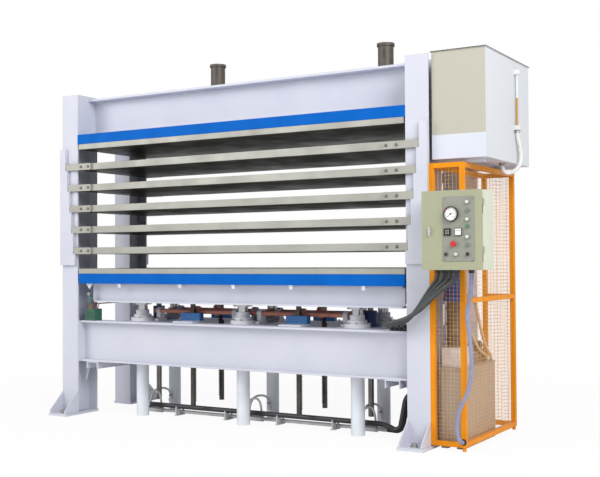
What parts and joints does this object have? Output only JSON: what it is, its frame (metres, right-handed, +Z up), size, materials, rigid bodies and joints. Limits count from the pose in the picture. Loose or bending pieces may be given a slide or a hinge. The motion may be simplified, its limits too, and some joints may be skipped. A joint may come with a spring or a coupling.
{
  "type": "hydraulic hot press",
  "caption": "Up-stroke hot press for panels: platens hang on stepped ladder boards between tall columns, lifted by rams under a geared bolster, with a caged power unit and a tank.",
  "frame": {"origin": "on the floor at the middle of the rectangle of four anchor holes", "axes": "+X along the platens towards the power unit, +Y from the working side to the back, +Z up"},
  "size_m": [3.918, 1.341, 2.945],
  "materials": {
    "frame_paint": "pale lavender paint, satin",
    "blue_paint": "bright blue paint, satin",
    "platen_steel": "ground plate, oiled",
    "bare_steel": "dark mill scale",
    "ram_chrome": "ground and plated",
    "gland_paint": "off-white paint",
    "barrel_paint": "pale lavender paint",
    "shaft_steel": "red-brown primer",
    "gear_steel": "greased steel",
    "navy_paint": "navy paint",
    "dark_pipe": "black pipe",
    "white_pipe": "white paint",
    "hose": "light grey hose",
    "dark_hose": "dark ribbed conduit",
    "switch_green": "green enamel",
    "tank_paint": "two-tone beige and lavender paint",
    "gauge_body": "white fittings",
    "cage_paint": "orange paint",
    "reservoir_paint": "beige paint",
    "motor_paint": "blue enamel",
    "valve_metal": "grey castings",
    "cabinet_paint": "beige textured paint",
    "panel_grey": "grey plate",
    "black_plastic": "black moulding",
    "lamp_plastic": "clear lens",
    "red_plastic": "red moulding",
    "green_plastic": "green moulding"
  },
  "bodies": {
    "frame": {"bed_beams": "frame_paint", "bed_cross_beams": "frame_paint", "cabinet_box": "cabinet_paint", "cage_frame": "cage_paint", "cage_mesh": "cage_paint", "column_front_left": "frame_paint", "column_front_right": "frame_paint", "column_rear_left": "frame_paint", "column_rear_right": "frame_paint", "conduits": "dark_hose", "cylinder_barrels": "barrel_paint", "cylinder_glands": "gland_paint", "cylinder_hoses": "hose", "gear_housings": "blue_paint", "guide_sleeves": "navy_paint", "ladder_boards": "frame_paint", "lifting_posts": "bare_steel", "limit_switch": "switch_green", "oil_tank": "tank_paint", "pressure_pipe": "dark_pipe", "pump_motor": "motor_paint", "reservoir": "reservoir_paint", "return_pipe": "white_pipe", "shaft_bearings": "gland_paint", "sight_gauge": "gauge_body", "tank_hose": "hose", "top_beams": "frame_paint", "top_cross_beams": "frame_paint", "top_platen": "platen_steel", "top_table": "blue_paint", "unit_hose": "hose", "unit_pipes": "hose", "valve_block": "valve_metal"},
    "bolster": {"bolster_beams": "frame_paint", "bolster_table": "blue_paint", "bottom_platen": "platen_steel", "rams": "ram_chrome", "racks": "gear_steel", "guide_rods": "bare_steel", "switch_striker": "switch_green"},
    "sync_shaft_front": {"sync_shaft_front": "shaft_steel"},
    "sync_shaft_rear": {"sync_shaft_rear": "shaft_steel"},
    "switch_lever": {"switch_lever": "switch_green"},
    "cabinet_door": {"cabinet_door": "cabinet_paint", "control_panel": "panel_grey", "dial_gauge": "black_plastic", "panel_meters": "black_plastic", "pilot_lamps": "lamp_plastic"},
    "door_latch": {"door_latch": "black_plastic"},
    "estop_button": {"estop_button": "red_plastic"},
    "selector_switch": {"selector_switch": "black_plastic"},
    "platen_1": {"platen_1": "platen_steel"},
    "platen_2": {"platen_2": "platen_steel"},
    "platen_3": {"platen_3": "platen_steel"},
    "platen_4": {"platen_4": "platen_steel"},
    "platen_5": {"platen_5": "platen_steel"},
    "push_button_1": {"push_button_1": "black_plastic"},
    "push_button_2": {"push_button_2": "green_plastic"},
    "push_button_3": {"push_button_3": "red_plastic"},
    "push_button_4": {"push_button_4": "black_plastic"}
  },
  "joints": [
    {"name": "bolster_lift", "type": "slide", "parent": "frame", "child": "bolster", "axis": [0, 0, 1], "range_m": [0, 0.72]},
    {"name": "front_shaft_turn", "type": "hinge", "parent": "frame", "child": "sync_shaft_front", "pos_m": [0, -0.14, 0.882], "axis": [1, 0, 0], "range_deg": [-983, 0]},
    {"name": "rear_shaft_turn", "type": "hinge", "parent": "frame", "child": "sync_shaft_rear", "pos_m": [0, 0.14, 0.882], "axis": [1, 0, 0], "range_deg": [0, 983]},
    {"name": "lever_tilt", "type": "hinge", "parent": "frame", "child": "switch_lever", "pos_m": [-1.425, -0.434, 0.968], "axis": [0, 1, 0], "range_deg": [-30, 30], "stiffness_Nm_per_rad": 1},
    {"name": "cabinet_door_swing", "type": "hinge", "parent": "frame", "child": "cabinet_door", "pos_m": [2.1875, -0.674, 1.4945], "axis": [0, 0, 1], "range_deg": [0, 120]},
    {"name": "latch_turn", "type": "hinge", "parent": "cabinet_door", "child": "door_latch", "pos_m": [1.8185, -0.7, 1.48925], "axis": [0, 1, 0], "range_deg": [0, 90]},
    {"name": "estop_press", "type": "slide", "parent": "cabinet_door", "child": "estop_button", "axis": [0, 1, 0], "range_m": [0, 0.005], "stiffness_N_per_m": 400},
    {"name": "selector_turn", "type": "hinge", "parent": "cabinet_door", "child": "selector_switch", "pos_m": [2.08603, -0.699, 1.33579], "axis": [0, 1, 0], "range_deg": [-45, 45]},
    {"name": "platen_1_lift", "type": "slide", "parent": "frame", "child": "platen_1", "axis": [0, 0, 1], "range_m": [0, 0.1205]},
    {"name": "platen_2_lift", "type": "slide", "parent": "frame", "child": "platen_2", "axis": [0, 0, 1], "range_m": [0, 0.2405]},
    {"name": "platen_3_lift", "type": "slide", "parent": "frame", "child": "platen_3", "axis": [0, 0, 1], "range_m": [0, 0.3605]},
    {"name": "platen_4_lift", "type": "slide", "parent": "frame", "child": "platen_4", "axis": [0, 0, 1], "range_m": [0, 0.4805]},
    {"name": "platen_5_lift", "type": "slide", "parent": "frame", "child": "platen_5", "axis": [0, 0, 1], "range_m": [0, 0.6005]},
    {"name": "button_1_press", "type": "slide", "parent": "cabinet_door", "child": "push_button_1", "axis": [0, 1, 0], "range_m": [0, 0.005], "stiffness_N_per_m": 300},
    {"name": "button_2_press", "type": "slide", "parent": "cabinet_door", "child": "push_button_2", "axis": [0, 1, 0], "range_m": [0, 0.005], "stiffness_N_per_m": 300},
    {"name": "button_3_press", "type": "slide", "parent": "cabinet_door", "child": "push_button_3", "axis": [0, 1, 0], "range_m": [0, 0.005], "stiffness_N_per_m": 300},
    {"name": "button_4_press", "type": "slide", "parent": "cabinet_door", "child": "push_button_4", "axis": [0, 1, 0], "range_m": [0, 0.005], "stiffness_N_per_m": 300}
  ],
  "couplings": [
    {"joint": "front_shaft_turn", "follows": "bolster_lift", "rad_per_m": -23.81},
    {"joint": "rear_shaft_turn", "follows": "bolster_lift", "rad_per_m": 23.81},
    {"joint": "platen_1_lift", "follows": "bolster_lift", "ratio": 0.16667},
    {"joint": "platen_2_lift", "follows": "bolster_lift", "ratio": 0.33333},
    {"joint": "platen_3_lift", "follows": "bolster_lift", "ratio": 0.5},
    {"joint": "platen_4_lift", "follows": "bolster_lift", "ratio": 0.66667},
    {"joint": "platen_5_lift", "follows": "bolster_lift", "ratio": 0.83333}
  ]
}
